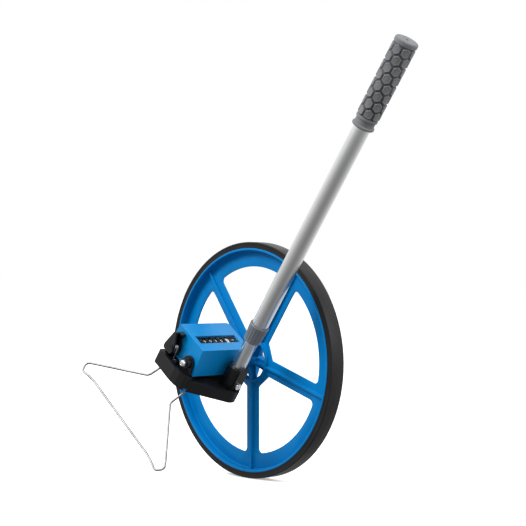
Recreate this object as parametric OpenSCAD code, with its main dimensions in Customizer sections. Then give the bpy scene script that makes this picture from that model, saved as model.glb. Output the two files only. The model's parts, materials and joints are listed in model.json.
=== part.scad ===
// Walk-behind measuring wheel: one metre of ground per turn, five-drum counter
// driven by the wheel axle, telescopic handle, side stand bent from wire.
// The wheel stands on its tread at the origin and turns about the Y axis.
// Frame, counter, handle and stand share one leaning frame (see module leaned):
// there x runs towards the user, y along the axle and z up the handle, measured
// from the wheel centre. The counter and the stand are on the -y side.

/* [Wheel] */
// Distance that one turn of the tread measures
circumference = 1000; // [900:10:1100]
// Width of the tyre
tyre_w = 22.4; // [18:0.2:26]
// Radial thickness of the tyre
tyre_t = 8.2; // [6:0.1:10]
// Radial thickness of the rim barrel
rim_t = 3.6; // [2.5:0.1:5]
// How far the rim lip stands proud of the tyre on each side
rim_proud = 0.6; // [0.2:0.1:1]
// Thickness of the flat web and the spoke plates
web_t = 2.4; // [1.6:0.1:3]
// Radius at which the windows end
window_r = 126.2; // [115:0.1:130]
// Corner radius of the windows at the rim
window_corner_r = 6; // [4:0.5:9]
// Corner radius of the windows at the hub
window_hub_r = 3.5; // [2:0.5:6]
// Number of spokes
spokes = 5; // [5:1:6]
// Width of a spoke plate
spoke_w = 23; // [18:0.5:28]
// Width of the rib along each spoke
rib_w = 3.6; // [2.5:0.1:5]
// Height of that rib above the middle plane
rib_h = 5.2; // [4:0.1:7]
// Radius of the hub disc
hub_r = 37.5; // [34:0.5:42]
// Radius of the hub boss
boss_r = 8; // [7:0.1:9]

/* [Axle] */
// Diameter of the axle
axle_d = 8; // [7:0.1:8]
// Running clearance of every turning bore, on the radius
run_gap = 0.05; // [0.03:0.01:0.08]

/* [Handle] */
// Lean of the handle from the vertical
lean = 36.9; // [20:0.1:45]
// Handle axis: towards the user
handle_x = 27; // [26:0.5:30]
// Handle axis: along the axle
handle_y = -53; // [-56:0.5:-50]
// Outer diameter of the lower tube
lower_d = 19; // [18:0.1:19.2]
// Outer diameter of the upper tube
upper_d = 22; // [21.8:0.1:22.4]
// Top of the lower tube
lower_top = 462; // [400:1:465]
// Top of the grip
grip_top = 499.5; // [490:0.5:505]
// Length of the grip
grip_l = 118; // [112:1:125]

/* [Counter] */
// Left face of the housing
box_left = -111; // [-112:0.5:-110.5]
// Width of the housing along the axle
box_w = 83; // [82:0.5:84]
// Top face of the housing
box_top = 28; // [27.5:0.5:30]
// Depth of the housing at its top
box_depth = 56.5; // [54:0.5:58]
// Wall thickness of the housing
wall = 2; // [1.6:0.1:2.4]
// Number of digit drums
drums = 5; // [5:1:5]
// Radius of a digit drum
drum_r = 11.5; // [11:0.1:11.8]

/* [Stand] */
// Diameter of the stand wire
wire_d = 3; // [2.6:0.1:3.2]
// Swing of the stand outwards from straight down
stand_angle = 45; // [30:1:50]

/* [Hidden] */

$fn = 64;

// Wheel
wheel_r = circumference / (2 * PI);
tyre_in_r = wheel_r - tyre_t;
rim_in_r = tyre_in_r - rim_t;
rim_half_w = tyre_w / 2 + rim_proud;
tread_round = 1.5;
rim_round = 1.2;
hub_open_r = 25;
hub_ring = [27, 31];
hub_ring_h = 5;
inner_spoke_w = 14;
gusset_h = 12.5;
boss_outer = 21;
boss_inner = 13;
axle_r = axle_d / 2;

// Axle hardware, as distances from the middle plane towards the counter
lug_out_face = -119;
lug_in_face = box_left - 0.5;
lug_t = 3.5;
axle_shoulder = 120.3;
axle_end = 126;
stub_r = 2.5;
washer_t = 1.2;
nut_t = 4.2;
nut_r = 4.62;
head_t = 5.3;
head_r = 7.2;

// Counter housing, drafted so that it is deeper at the bottom
box_right = box_left + box_w;
box_back = box_top_x(-1);
box_front = box_top_x(1);
box_bottom = -13.8;
box_draft = 3.4;
function box_top_x(side) = -17.35 + side * box_depth / 2;
base_t = 2;
window_x = [-19.4, -4.4];
window_y = [-103.8, -35.9];
window_ledge = 1;
lens_t = 1.2;

// Drum train: the drum shaft is one gear mesh away from the axle
mesh = 18.2;
drum_x = -12;
drum_z = sqrt(mesh * mesh - drum_x * drum_x);
drum_left = -94.2;
drum_pitch = 9.6;
drum_rim_w = 7;
gear_w = 2.2;
drive_teeth = 20;
drum_shaft_r = 2;
carry_teeth = 20;
pinion_teeth = 8;
carry_module = 0.92;
carry_r = carry_module * carry_teeth / 2;
pinion_r = carry_module * pinion_teeth / 2;
pinion_x = drum_x - carry_r - pinion_r;
pinion_z = drum_z;
pinion_shaft_r = 1;
chassis_left = -97;
chassis_right = -43.8;
chassis_t = 1.6;
chassis_x = [-41, 7.5];
chassis_z = [box_bottom + base_t, 23.5];

chassis_spots = [[-34, -84], [-34, -56], [5.5, -84]];

// Reset
reset_x = -29;
reset_z = 3;
reset_r = 2;
// Lever: a channel with an outer and an inner cheek, a back web and a thumb pad
lever_y = [-125, -122.5, -114.5, -112];
lever_outer = [[-41.7, -7.1], [-43.7, -4.5], [-43.2, 0], [-36.6, 22.4], [-34.8, 23.9],
               [-32.4, 23.8], [-25, 6], [-24.8, 0], [-27, -6.4], [-30.2, -7.1]];
lever_inner = [[-41.7, -7.1], [-43.7, -4.5], [-43.2, 0], [-36.6, 22.4], [-34.8, 23.9],
               [-27.3, 24.4], [-27.1, 21.9], [-30.3, 14.6], [-24.7, 7.2], [-23.7, -1],
               [-24.5, -8], [-30, -9.5]];
lever_web = [[-41.7, -7.1], [-43.7, -4.5], [-43.2, 0], [-36.6, 22.4], [-34.4, 21.7],
             [-41, -0.5], [-40.2, -7.1]];
lever_pad = [[-36.6, 22.4], [-34.8, 23.9], [-32.4, 23.8], [-32, 21.6], [-34.4, 21.5]];
lever_pad_wide = [[-36.6, 22.4], [-34.8, 23.9], [-27.3, 24.4], [-27.1, 21.9], [-34.4, 21.5]];

// Frame: a shallow tray with a deep outer bar, a slanted front bar and a tube socket
bar_y = -126;
bar_t = 3.5;
bar_step = 0.7;
frame_bottom = -33;
bar_top = -12;
front_top = -16.3;
floor_z = [-22, -19];
back_x = -43.5;
right_y = [-27.5, -22.5];
socket_r = 12.6;
socket_top = 12.5;
socket_floor = -30;
bolt_z = -9;
bolt_r = 2.5;
bolt_face_x = 41;
bolt_end_x = 15;
screw_spots = [[-36, -104.5], [9, -104.5], [-36, -37.5], [9, -34.5]];
screw_r = 1.5;
anchor = [-22.3, -115.6];

// Handle
handle_r = lower_d / 2;
upper_r = upper_d / 2;
upper_bore = 10;
collar_z = [56, 82];
upper_bottom = 62;
collar_flutes = 18;
flute_w = 1.4;
grip_bottom = grip_top - grip_l;
cap_h = 6.5;
grip_hole_r = 2;

// Stand: corners of half the wire loop, as distance from its middle and from its hinge
stand_x = -11;
stand_y = -105;
stand_z = -28;
stand_half = [[26.8, -0.5], [28.2, 33], [30.5, 37.5], [97.5, 84.5], [101.5, 88], [103, 92],
              [101.5, 97.5], [98.5, 100.3], [94.5, 101], [84, 98.8], [72, 97.3], [35, 97.3]];
stand_pin = 17;
stand_lug_x = 13.5;
wire_r = wire_d / 2;

module leaned() {
    translate([0, 0, wheel_r]) rotate([0, lean, 0]) children();
}

// Axle frame: z points towards the counter, x and y stay in the plane of the wheel
module on_axle() {
    translate([0, 0, wheel_r]) rotate([90, 0, 0]) children();
}

// A round bar along the axle direction of the leaning frame, from y0 to y1
module along_y(x, z, y0, y1, r) {
    translate([x, y1, z]) rotate([90, 0, 0]) cylinder(r = r, h = y1 - y0);
}

// A flat outline given in x and z, made thick along y
module plate_y(y0, y1) {
    translate([0, y1, 0]) rotate([90, 0, 0]) linear_extrude(y1 - y0) children();
}

module ring_profile(r0, r1, half_w, round_r) {
    difference() {
        translate([r0, -half_w]) square([r1 - r0, 2 * half_w]);
        for (s = [-1, 1])
            translate([r1 - round_r, s * (half_w - round_r)])
                difference() {
                    translate([0, s > 0 ? 0 : -round_r - 1]) square([round_r + 1, round_r + 1]);
                    circle(round_r);
                }
    }
}

module tyre() {
    color([0.06, 0.06, 0.06]) on_axle()
        rotate_extrude($fn = 180) ring_profile(tyre_in_r, wheel_r, tyre_w / 2, tread_round);
}

// Points on an arc round a centre, from angle a0 to a1
function arc(centre, r, a0, a1, n) =
    [for (i = [0:n]) let (a = a0 + (a1 - a0) * i / n) centre + r * [cos(a), sin(a)]];

// One window, pointing along x: round corners at the hub and at the rim
module window_outline() {
    half = 180 / spokes;
    in_r = hub_r + window_hub_r;
    out_r = window_r - window_corner_r;
    in_a = half - asin((spoke_w / 2 + window_hub_r) / in_r);
    out_a = half - asin((spoke_w / 2 + window_corner_r) / out_r);
    edge = -half;
    lower = concat(
        arc(in_r * [cos(in_a), -sin(in_a)], window_hub_r, 180 - in_a, 90 + edge + 180, 6),
        arc(out_r * [cos(out_a), -sin(out_a)], window_corner_r, edge - 90, -out_a, 6),
        arc([0, 0], window_r, -out_a * 5 / 6, 0, 5));
    n = len(lower);
    polygon(concat(lower, [for (i = [n - 2:-1:0]) [lower[i][0], -lower[i][1]]]));
}

module spoke_rib() {
    rib_len = rim_in_r - boss_r + 2;
    translate([boss_r - 1, -rib_w / 2, -rib_h]) cube([rib_len, rib_w, 2 * rib_h]);
    for (s = [0, 1]) mirror([0, 0, s])
        rotate([90, 0, 0]) translate([0, 0, -rib_w / 2]) linear_extrude(rib_w)
            polygon([[boss_r - 1, 0], [hub_ring[0] + 1, 0], [hub_ring[0] + 1, rib_h],
                     [boss_r - 1, gusset_h]]);
}

// Flat middle plate of the wheel: rim web, spokes and hub disc in one
module web_outline() {
    difference() {
        circle(rim_in_r + 1, $fn = 180);
        for (i = [0:spokes - 1]) rotate(90 + i * 360 / spokes) window_outline();
        circle(hub_open_r);
    }
    for (i = [0:spokes - 1]) rotate(-90 + i * 360 / spokes)
        translate([0, -inner_spoke_w / 2]) square([hub_open_r + 1, inner_spoke_w]);
}

module wheel() {
    color([0.0, 0.38, 0.78]) on_axle() difference() {
        union() {
            rotate_extrude($fn = 180)
                ring_profile(rim_in_r, tyre_in_r, rim_half_w, rim_round);
            translate([0, 0, -web_t / 2]) linear_extrude(web_t) web_outline();
            difference() {
                translate([0, 0, -hub_ring_h]) cylinder(r = hub_ring[1], h = 2 * hub_ring_h, $fn = 90);
                translate([0, 0, -rib_h]) cylinder(r = hub_ring[0], h = 2 * rib_h, $fn = 90);
            }
            for (i = [0:spokes - 1]) rotate(-90 + i * 360 / spokes) spoke_rib();
            translate([0, 0, -boss_inner]) cylinder(r = boss_r, h = boss_inner + boss_outer);
        }
        translate([0, 0, -boss_inner - 1]) cylinder(r = axle_r, h = boss_inner + boss_outer + 2);
    }
}

module axle() {
    color([0.75, 0.76, 0.78]) on_axle() union() {
        translate([0, 0, -boss_inner - washer_t])
            cylinder(r = axle_r, h = boss_inner + washer_t + axle_shoulder);
        cylinder(r = stub_r, h = axle_end);
        translate([0, 0, -boss_inner - washer_t - head_t]) cylinder(r = head_r, h = head_t, $fn = 6);
    }
}

module axle_washers() {
    color([0.12, 0.12, 0.12]) on_axle()
        for (w = [[-boss_inner - washer_t, axle_r, 6.8], [axle_shoulder, stub_r, 5.2]])
            translate([0, 0, w[0]]) difference() {
                cylinder(r = w[2], h = washer_t);
                translate([0, 0, -1]) cylinder(r = w[1], h = washer_t + 2);
            }
}

module axle_nut() {
    color([0.85, 0.85, 0.86]) on_axle() translate([0, 0, axle_shoulder + washer_t]) difference() {
        union() {
            cylinder(r = nut_r, h = nut_t - 1.2, $fn = 6);
            cylinder(r = nut_r * 0.8, h = nut_t);
        }
        translate([0, 0, -1]) cylinder(r = stub_r, h = nut_t + 2);
    }
}

// Flanged plain bushes in the two lugs
module bush(y0, y1, flange_y) {
    difference() {
        union() {
            along_y(0, 0, y0, y1, 5.8);
            along_y(0, 0, flange_y, flange_y + 1, 7.2);
        }
        along_y(0, 0, y0 - 2, y1 + 2, axle_r + run_gap);
    }
}

module axle_bushes() {
    color([0.1, 0.1, 0.1]) leaned() {
        bush(lug_out_face, lug_in_face, lug_out_face - 1);
        bush(right_y[0], right_y[1], right_y[1]);
    }
}

// Gear outline with short straight-sided teeth and generous backlash
module gear(teeth, m, spin = 0) {
    r = m * teeth / 2;
    step = 360 / teeth;
    polygon([for (i = [0:teeth - 1], k = [0:3])
        let (rad = (k == 0 || k == 3) ? r - m : r + 0.7 * m,
             a = spin + step * (i + [-0.24, -0.11, 0.11, 0.24][k]))
        rad * [cos(a), sin(a)]]);
}

module drive_gear() {
    y0 = drum_left + (drums - 1) * drum_pitch + drum_rim_w + 0.3;
    mesh_angle = atan2(drum_z, drum_x);
    color([0.9, 0.88, 0.8]) leaned() difference() {
        plate_y(y0, y0 + gear_w) rotate(mesh_angle) gear(drive_teeth, mesh / drive_teeth);
        along_y(0, 0, y0 - 2, y0 + gear_w + 3, axle_r);
    }
}

module lug(y0, y1, half_base) {
    plate_y(y0, y1) union() {
        circle(9.4);
        polygon([[-9.4, 0], [9.4, 0], [half_base, floor_z[0] + 1], [-half_base, floor_z[0] + 1]]);
    }
}

// Plan of the tray as seen from above, shrunk by d
module tray_plan(d) {
    polygon([[back_x + d, bar_y + d], [-6, bar_y + d], [4, bar_y + 1.6 + d], [12, bar_y + 5 + d * 1.1],
             [18.6 - d * 0.5, bar_y + 9.5 + d * 1.2], [46 - d * 1.25, -60], [46.5 - d, -56],
             [46 - d, -50], [41.5 - d * 0.6, -45.4 - d], [22, right_y[1] - d],
             [back_x + 12, right_y[1] - d], [back_x + d, right_y[1] - 10 - d]]);
}

module frame() {
    color([0.07, 0.07, 0.07]) leaned() difference() {
        union() {
            difference() {
                translate([0, 0, frame_bottom]) linear_extrude(front_top - frame_bottom) tray_plan(0);
                translate([0, 0, floor_z[1]]) linear_extrude(20) tray_plan(bar_t);
                translate([0, 0, frame_bottom - 1]) linear_extrude(floor_z[0] - frame_bottom + 1)
                    tray_plan(bar_t);
            }
            // The outer bar stands higher than the rest of the rim
            difference() {
                translate([0, 0, frame_bottom]) linear_extrude(bar_top - frame_bottom) intersection() {
                    tray_plan(-bar_step);
                    translate([back_x - 1, bar_y - 1]) square([62, 14]);
                }
                translate([0, 0, floor_z[0] - 12]) linear_extrude(40) tray_plan(bar_t);
            }
            lug(lug_in_face - lug_t, lug_in_face, 13);
            along_y(0, 0, lug_out_face, lug_in_face, 7.2);
            lug(right_y[0], right_y[1], 17);
            for (p = screw_spots) translate([p[0], p[1], floor_z[1] - 1])
                cylinder(r = 4, h = box_bottom - floor_z[1] + 1);
            translate([anchor[0], anchor[1], floor_z[1] - 1]) cylinder(r = 2.6, h = 3);
            translate([handle_x, handle_y, frame_bottom])
                cylinder(r = socket_r, h = socket_top - frame_bottom);
            translate([handle_x, handle_y - 7, frame_bottom])
                cube([bolt_face_x - handle_x, 14, socket_top - frame_bottom + 2]);
            for (s = [-1, 1]) translate([stand_x + s * stand_lug_x - 3, stand_y, stand_z]) {
                translate([0, -4, 0]) cube([6, 8, floor_z[0] - stand_z + 1]);
                rotate([0, 90, 0]) cylinder(r = 4, h = 6);
            }
        }
        translate([handle_x, handle_y, socket_floor]) cylinder(r = handle_r, h = 60);
        translate([bolt_end_x, handle_y, bolt_z]) rotate([0, 90, 0]) cylinder(r = bolt_r, h = 60);
        along_y(0, 0, lug_out_face - 2, box_left + 2, 5.8);
        along_y(0, 0, right_y[0] - 2, right_y[1] + 2, 5.8);
        for (p = screw_spots) translate([p[0], p[1], floor_z[0] - 1]) cylinder(r = screw_r + 0.2, h = 20);
        translate([anchor[0], anchor[1], floor_z[0] - 1]) cylinder(r = 1.5, h = 10);
        translate([stand_x - 20, stand_y, stand_z]) rotate([0, 90, 0])
            cylinder(r = wire_r + run_gap, h = 40);
        // Relief in the front bar where the stand leg passes under it
        translate([stand_x + stand_half[0][0] - 3.5, stand_y - 14, frame_bottom - 1]) cube([7, 16, 5]);
    }
}

module socket_bolt() {
    color([0.8, 0.8, 0.82]) leaned() translate([0, handle_y, bolt_z]) rotate([0, 90, 0]) difference() {
        union() {
            translate([0, 0, bolt_end_x]) cylinder(r = bolt_r, h = bolt_face_x - bolt_end_x);
            translate([0, 0, bolt_face_x]) cylinder(r = 4.7, h = 2.6);
        }
        translate([0, 0, bolt_face_x + 1]) cylinder(r = 2.3, h = 3, $fn = 6);
    }
}

// A turned part on the handle axis, from z0 to z1
module on_handle(z) {
    translate([handle_x, handle_y, z]) children();
}

module tube(r_out, r_in, z0, z1) {
    on_handle(z0) difference() {
        cylinder(r = r_out, h = z1 - z0);
        translate([0, 0, -1]) cylinder(r = r_in, h = z1 - z0 + 2);
    }
}

module lower_tube() {
    color([0.72, 0.73, 0.75]) leaned() difference() {
        tube(handle_r, handle_r - 1.2, socket_floor, lower_top);
        translate([0, handle_y, bolt_z]) rotate([0, 90, 0]) cylinder(r = bolt_r, h = 60);
    }
}

module tube_plug() {
    color([0.1, 0.1, 0.1]) leaned() on_handle(lower_top) union() {
        cylinder(r = upper_bore - run_gap, h = 14);
        translate([0, 0, -12]) cylinder(r = handle_r - 1.2, h = 13);
    }
}

module upper_tube() {
    color([0.72, 0.73, 0.75]) leaned() tube(upper_r, upper_bore, upper_bottom, grip_top - 6);
}

module clamp_ferrule() {
    z0 = collar_z[0] + 2.5;
    color([0.2, 0.2, 0.2]) leaned() difference() {
        on_handle(z0) difference() {
            cylinder(r1 = 10.1, r2 = 10.5, h = upper_bottom - z0);
            translate([0, 0, -1]) cylinder(r = handle_r + run_gap, h = 10);
        }
        translate([handle_x, handle_y - 0.5, z0 - 1]) cube([20, 1, 10]);
    }
}

module twist_collar() {
    h = collar_z[1] - collar_z[0];
    color([0.32, 0.34, 0.36]) leaned() on_handle(collar_z[0]) difference() {
        union() {
            cylinder(r1 = 10.8, r2 = 11.4, h = 2);
            translate([0, 0, 2]) cylinder(r1 = 11.4, r2 = 13, h = h - 4);
            translate([0, 0, h - 2]) cylinder(r1 = 13, r2 = 12.6, h = 2);
        }
        translate([0, 0, -1]) cylinder(r = handle_r + 0.4, h = h);
        translate([0, 0, 2]) cylinder(r = 10.9, h = h);
        translate([0, 0, 5]) cylinder(r = upper_r + run_gap, h = h);
        for (i = [0:collar_flutes - 1]) rotate((i + 0.5) * 360 / collar_flutes)
            translate([11.1, -flute_w / 2, 3]) rotate([0, 4, 0]) cube([4, flute_w, h - 6]);
    }
}

module grip() {
    cap = grip_l - cap_h;
    color([0.36, 0.37, 0.39]) leaned() on_handle(grip_bottom) difference() {
        union() {
            cylinder(r = 12.4, h = 14);
            cylinder(r = 14.4, h = 3);
            translate([0, 0, 11]) cylinder(r = 13.9, h = 3);
            translate([0, 0, 14]) cylinder(r1 = 13.6, r2 = 14.2, h = cap - 14);
            translate([0, 0, cap]) cylinder(r = 14.8, h = cap_h - 2);
            translate([0, 0, grip_l - 2]) cylinder(r1 = 14.8, r2 = 12.8, h = 2);
        }
        translate([0, 0, -1]) cylinder(r = upper_r, h = grip_l - 5);
        translate([0, 0, grip_l - 8]) cylinder(r = grip_hole_r, h = 12);
    }
}

// Side view of the counter housing, drafted front and back, shrunk by d
module housing_side(d) {
    low = box_draft;
    polygon([[box_back - low + d, box_bottom], [box_front + low - d, box_bottom],
             [box_front - d, box_top - d], [box_back + d, box_top - d]]);
}

module housing_plan(d) {
    big = 5 - d;
    x0 = box_back - box_draft + d;
    x1 = box_front + box_draft - d;
    y0 = box_left + d;
    y1 = box_right - d;
    union() {
        translate([x0, y0]) square([x1 - x0, y1 - y0 - big]);
        translate([x0 + big + box_draft, y0]) square([x1 - x0 - 2 * big - 2 * box_draft, y1 - y0]);
        for (x = [x0 + big + box_draft, x1 - big - box_draft]) translate([x, y1 - big]) circle(big);
    }
}

module housing_shape(d) {
    intersection() {
        plate_y(box_left + d, box_right - d) housing_side(d);
        translate([0, 0, box_bottom - 1]) linear_extrude(box_top - box_bottom + 2) housing_plan(d);
    }
}

module counter_housing() {
    color([0.0, 0.38, 0.78]) leaned() difference() {
        union() {
            difference() {
                housing_shape(0);
                housing_shape(wall);
            }
            for (p = screw_spots) translate([p[0], p[1], box_bottom + base_t]) {
                cylinder(r = 3.6, h = 9);
                if (p[0] < 0) translate([-11.5, -1.2, 0]) cube([11.5, 2.4, 9]);
            }
        }
        translate([-100, box_left - 1, box_bottom - 1]) cube([200, box_w + 2, base_t + 1]);
        translate([window_x[0] + window_ledge, window_y[0] + window_ledge, box_top - 10])
            cube([window_x[1] - window_x[0] - 2 * window_ledge,
                  window_y[1] - window_y[0] - 2 * window_ledge, 20]);
        translate([window_x[0], window_y[0], box_top - lens_t - 0.3])
            cube([window_x[1] - window_x[0], window_y[1] - window_y[0], 10]);
        along_y(0, 0, box_left - 1, box_left + wall + 1, axle_r + 1);
        along_y(0, 0, box_right - wall - 1, box_right + 1, axle_r + 1);
        along_y(reset_x, reset_z, box_left - 1, box_left + wall + 1, reset_r + 0.6);
        for (p = screw_spots) translate([p[0], p[1], box_bottom - 1]) cylinder(r = screw_r, h = 10);
    }
}

module counter_base() {
    color([0.08, 0.08, 0.09]) leaned() difference() {
        intersection() {
            housing_shape(0.4);
            translate([-100, box_left, box_bottom]) cube([200, box_w, base_t]);
        }
        for (p = screw_spots) translate([p[0], p[1], box_bottom - 1]) cylinder(r = screw_r + 0.2, h = 10);
        for (p = chassis_spots) translate([p[0], p[1], box_bottom - 1]) cylinder(r = 1, h = 10);
    }
}

module window_lens() {
    color([0.85, 0.9, 0.95, 0.4]) leaned()
        translate([window_x[0] + 0.1, window_y[0] + 0.1, box_top - lens_t - 0.3])
        cube([window_x[1] - window_x[0] - 0.2, window_y[1] - window_y[0] - 0.2, lens_t]);
}

// Black mask under the housing top, with one slot for each drum and a unit field
module window_mask() {
    z = box_top - wall - 0.5;
    color([0.03, 0.03, 0.03]) leaned() difference() {
        translate([window_x[0] - 2, window_y[0] - 2, z])
            cube([window_x[1] - window_x[0] + 4, window_y[1] - window_y[0] + 4, 0.5]);
        for (i = [0:drums - 1])
            translate([drum_x - 5.2, drum_left + i * drum_pitch + 0.6, z - 1])
                cube([10.4, drum_rim_w - 1.2, 3]);
    }
}

module counter_chassis() {
    color([0.55, 0.56, 0.58]) leaned() difference() {
        union() {
            for (y = [chassis_left, chassis_right - chassis_t])
                translate([chassis_x[0], y, chassis_z[0]])
                    cube([chassis_x[1] - chassis_x[0], chassis_t, chassis_z[1] - chassis_z[0]]);
            translate([chassis_x[0], chassis_left, chassis_z[0]])
                cube([chassis_x[1] - chassis_x[0], chassis_right - chassis_left, 1.2]);
        }
        along_y(0, 0, chassis_left - 1, chassis_right + 1, axle_r + 1);
        along_y(drum_x, drum_z, chassis_left - 1, chassis_right + 1, drum_shaft_r);
        along_y(pinion_x, pinion_z, chassis_left - 1, chassis_right + 1, pinion_shaft_r);
        along_y(reset_x, reset_z, chassis_left - 1, chassis_right + 1, reset_r + run_gap);
        for (p = chassis_spots) translate([p[0], p[1], chassis_z[0] - 1]) cylinder(r = 1, h = 5);
    }
}

module chassis_screws() {
    color([0.7, 0.7, 0.72]) leaned() for (p = chassis_spots) translate([p[0], p[1], 0]) union() {
        translate([0, 0, box_bottom]) cylinder(r = 1, h = 3.2);
        translate([0, 0, box_bottom + 3.2]) cylinder(r = 2, h = 1.2);
    }
}

module drum_shaft() {
    color([0.75, 0.75, 0.77]) leaned()
        along_y(drum_x, drum_z, chassis_left - 1, chassis_right + 1, drum_shaft_r);
}

module pinion_shaft() {
    color([0.75, 0.75, 0.77]) leaned()
        along_y(pinion_x, pinion_z, chassis_left - 1, chassis_right + 1, pinion_shaft_r);
}

// Drum n counts from the highest digit; the last one carries the driven gear
module digit_drum(n) {
    y0 = drum_left + (n - 1) * drum_pitch;
    y1 = y0 + drum_rim_w;
    last = n == drums;
    mesh_angle = atan2(drum_z, drum_x);
    color(last ? [0.92, 0.92, 0.92] : [0.05, 0.05, 0.05]) leaned() difference() {
        union() {
            along_y(drum_x, drum_z, y0, y1, drum_r);
            translate([drum_x, 0, drum_z]) plate_y(y1 - 0.5, y1 + gear_w)
                if (last) rotate(mesh_angle) gear(drive_teeth, mesh / drive_teeth, 180 / drive_teeth);
                else rotate(180) gear(carry_teeth, carry_module);
        }
        along_y(drum_x, drum_z, y0 - 1, y1 + gear_w + 1, drum_shaft_r + run_gap);
    }
}

module carry_pinion(n) {
    y1 = drum_left + (n - 1) * drum_pitch + drum_rim_w;
    color([0.9, 0.88, 0.8]) leaned() difference() {
        translate([pinion_x, 0, pinion_z]) plate_y(y1 + 0.3, y1 + gear_w - 0.1)
            gear(pinion_teeth, carry_module, 180 / pinion_teeth);
        along_y(pinion_x, pinion_z, y1 - 1, y1 + gear_w + 1, pinion_shaft_r + run_gap);
    }
}

module reset_shaft() {
    color([0.75, 0.75, 0.77]) leaned()
        along_y(reset_x, reset_z, lever_y[0] + 1, chassis_right + 1, reset_r);
}

// Sleeve on the reset shaft with one finger for each drum
module reset_comb() {
    color([0.9, 0.88, 0.8]) leaned() difference() {
        union() {
            along_y(reset_x, reset_z, chassis_left + chassis_t + 0.4, chassis_right - chassis_t - 0.4, 3.4);
            for (i = [0:drums - 1])
                translate([reset_x, 0, reset_z])
                    plate_y(drum_left + i * drum_pitch + 2, drum_left + i * drum_pitch + 5)
                    rotate(60) translate([0, -1.2]) square([8.2, 2.4]);
        }
        along_y(reset_x, reset_z, chassis_left, chassis_right, reset_r);
    }
}

module reset_lever() {
    color([0.06, 0.06, 0.06]) leaned() difference() {
        union() {
            plate_y(lever_y[0], lever_y[1]) polygon(lever_outer);
            plate_y(lever_y[2], lever_y[3]) polygon(lever_inner);
            plate_y(lever_y[0], lever_y[3]) polygon(lever_web);
            plate_y(lever_y[0], lever_y[3]) polygon(lever_pad);
            plate_y(-119, lever_y[3]) polygon(lever_pad_wide);
        }
        along_y(reset_x, reset_z, lever_y[0] - 1, box_left + 1, reset_r);
    }
}

module lever_screw() {
    color([0.8, 0.8, 0.82]) leaned() difference() {
        along_y(reset_x, reset_z, lever_y[0] - 1.2, lever_y[0], 3.2);
        translate([reset_x - 4, lever_y[0] - 2, reset_z - 0.4]) cube([8, 1.3, 0.8]);
    }
}

// Round wire along a list of points
module sweep(points, r, sides) {
    n = len(points);
    function unit(v) = v / norm(v);
    function along(i) = unit(points[min(i + 1, n - 1)] - points[max(i - 1, 0)]);
    function ring(i) = let (t = along(i), u = unit(cross(t, abs(t[1]) < 0.9 ? [0, 1, 0] : [1, 0, 0])),
                            v = cross(t, u))
        [for (k = [0:sides - 1]) points[i] + r * (cos(360 * k / sides) * u + sin(360 * k / sides) * v)];
    polyhedron(
        points = [for (i = [0:n - 1]) each ring(i)],
        faces = concat(
            [[for (k = [0:sides - 1]) k]],
            [[for (k = [sides - 1:-1:0]) (n - 1) * sides + k]],
            [for (i = [0:n - 2], k = [0:sides - 1]) let (a = i * sides, b = (k + 1) % sides)
                [a + k, a + sides + k, a + sides + b, a + b]]));
}

// Torsion spring on the reset shaft, with one leg up in the lever and one down to its screw
module reset_spring() {
    turns = 4;
    steps = 12;
    r = 2.9;
    n = turns * steps;
    coil = [for (i = [0:n]) let (a = 180 + i * (360 * turns + 180) / n)
        [reset_x + r * cos(a), -121.2 + i * 5.4 / n, reset_z - r * sin(a)]];
    color([0.7, 0.7, 0.72]) leaned()
        sweep(concat([[reset_x - r, -121.3, reset_z + 6]], coil,
                     [[reset_x + r, -115.7, reset_z - 16.5]]), 0.45, 6);
}

// Pan-head screw in the tray floor that holds the spring's lower leg
module anchor_screw() {
    color([0.8, 0.8, 0.82]) leaned() translate([anchor[0], anchor[1], 0]) difference() {
        union() {
            translate([0, 0, floor_z[0]]) cylinder(r = 1.5, h = 6);
            translate([0, 0, floor_z[1] + 2]) cylinder(r = 2.8, h = 3.2);
        }
        translate([-4, -0.4, floor_z[1] + 3.4]) cube([8, 0.8, 3]);
    }
}

module housing_screws() {
    color([0.7, 0.7, 0.72]) leaned() for (p = screw_spots) translate([p[0], p[1], floor_z[0]]) union() {
        cylinder(r = screw_r, h = 14);
        translate([0, 0, -1.8]) cylinder(r = 2.8, h = 1.8);
    }
}

// The loop is one swept wire; its ends turn inwards as two round hinge pins
module stand_wire() {
    n = len(stand_half);
    half = [for (p = stand_half) [p[0], 0, p[1]]];
    loop = concat(half, [for (i = [n - 1:-1:0]) [-half[i][0], 0, half[i][2]]]);
    color([0.8, 0.8, 0.82]) leaned() translate([stand_x, stand_y, stand_z])
        rotate([180 - stand_angle, 0, 0]) union() {
            sweep(loop, wire_r, 10);
            for (s = [0, 1]) mirror([s, 0, 0]) translate([half[0][0] - stand_pin, 0, 0])
                rotate([0, 90, 0]) cylinder(r = wire_r, h = stand_pin + 0.8 * wire_r);
        }
}

tyre();
wheel();
axle();
axle_washers();
axle_nut();
axle_bushes();
drive_gear();
frame();
socket_bolt();
lower_tube();
tube_plug();
upper_tube();
clamp_ferrule();
twist_collar();
grip();
counter_base();
counter_housing();
window_lens();
window_mask();
counter_chassis();
drum_shaft();
digit_drum(1);  // digit_drum_1
digit_drum(2);  // digit_drum_2
digit_drum(3);  // digit_drum_3
digit_drum(4);  // digit_drum_4
digit_drum(5);  // digit_drum_5
pinion_shaft();
carry_pinion(1);  // carry_pinion_1
carry_pinion(2);  // carry_pinion_2
carry_pinion(3);  // carry_pinion_3
carry_pinion(4);  // carry_pinion_4
reset_shaft();
reset_comb();
reset_lever();
lever_screw();
reset_spring();
anchor_screw();
housing_screws();
chassis_screws();
stand_wire();
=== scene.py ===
"""Looks for the measuring wheel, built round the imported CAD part."""

import json
import math

import bmesh
import bpy
from mathutils import Matrix, Vector


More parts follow.
